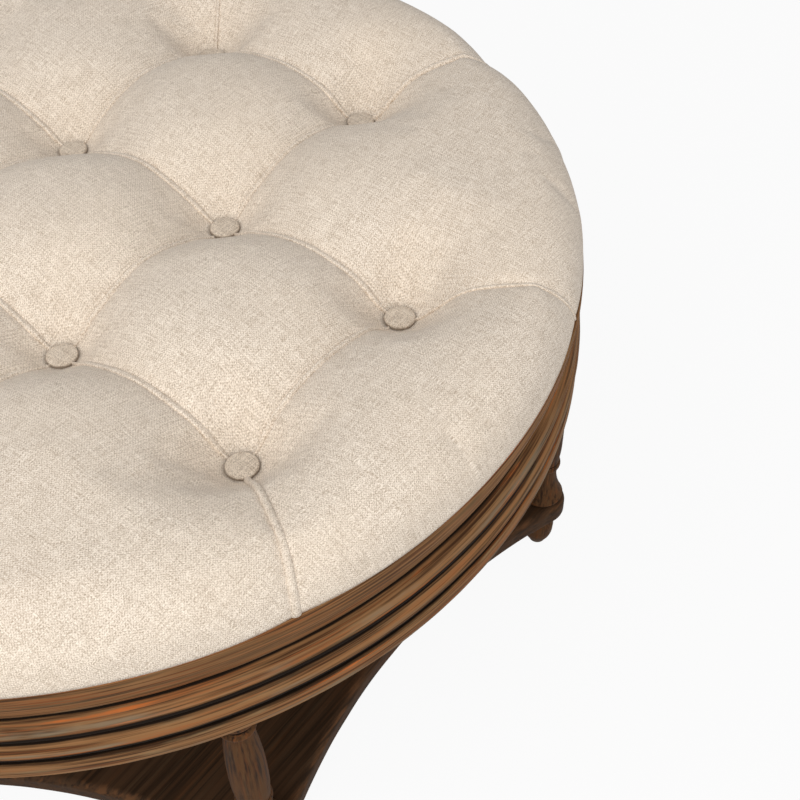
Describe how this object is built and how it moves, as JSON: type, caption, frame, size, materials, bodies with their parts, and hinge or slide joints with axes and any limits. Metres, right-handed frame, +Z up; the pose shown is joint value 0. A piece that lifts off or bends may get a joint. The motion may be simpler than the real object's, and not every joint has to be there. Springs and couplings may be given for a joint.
{
  "type": "ottoman coffee table",
  "caption": "Round button-tufted ottoman coffee table: linen cushion on a moulded wooden apron, turned legs, a lower shelf with hollow sides and bun feet.",
  "frame": {"origin": "on the floor, under the middle of the table", "axes": "+Z up; -Y faces the middle of one hollow side of the shelf and lies along the tufting; +X passes through a leg"},
  "size_m": [0.975, 0.9662, 0.455],
  "materials": {
    "linen": "woven natural linen",
    "foam": "open-cell upholstery foam",
    "twine": "waxed upholstery twine",
    "dust_cloth": "black non-woven cloth",
    "plywood": "bare plywood",
    "apron_wood": "weathered brown stain with worn edges",
    "leg_wood": "weathered brown stain with worn edges",
    "shelf_wood": "dark brown stain",
    "frame_wood": "bare softwood",
    "steel": "zinc-plated",
    "toggle_plastic": "plain moulded",
    "glide_felt": "pressed felt"
  },
  "bodies": {
    "root": {"apron_segment_1": "apron_wood", "apron_segment_2": "apron_wood", "apron_segment_3": "apron_wood", "apron_segment_4": "apron_wood", "apron_segment_5": "apron_wood", "apron_segment_6": "apron_wood", "block_screws": "steel", "bun_foot_1": "leg_wood", "bun_foot_2": "leg_wood", "bun_foot_3": "leg_wood", "bun_foot_4": "leg_wood", "bun_foot_5": "leg_wood", "bun_foot_6": "leg_wood", "button_backs": "steel", "cushion_cover": "linen", "dust_cover": "dust_cloth", "foam_pad": "foam", "glides": "glide_felt", "glue_blocks": "frame_wood", "leg_1": "leg_wood", "leg_2": "leg_wood", "leg_3": "leg_wood", "leg_4": "leg_wood", "leg_5": "leg_wood", "leg_6": "leg_wood", "leg_bolts": "steel", "lower_shelf": "shelf_wood", "rail_back": "frame_wood", "rail_front": "frame_wood", "seat_board": "plywood", "seat_screws": "steel", "spline_keys": "frame_wood", "tie_rods": "steel", "tuft_buttons": "linen", "tuft_twines": "twine", "twine_toggles": "toggle_plastic"}
  },
  "joints": []
}
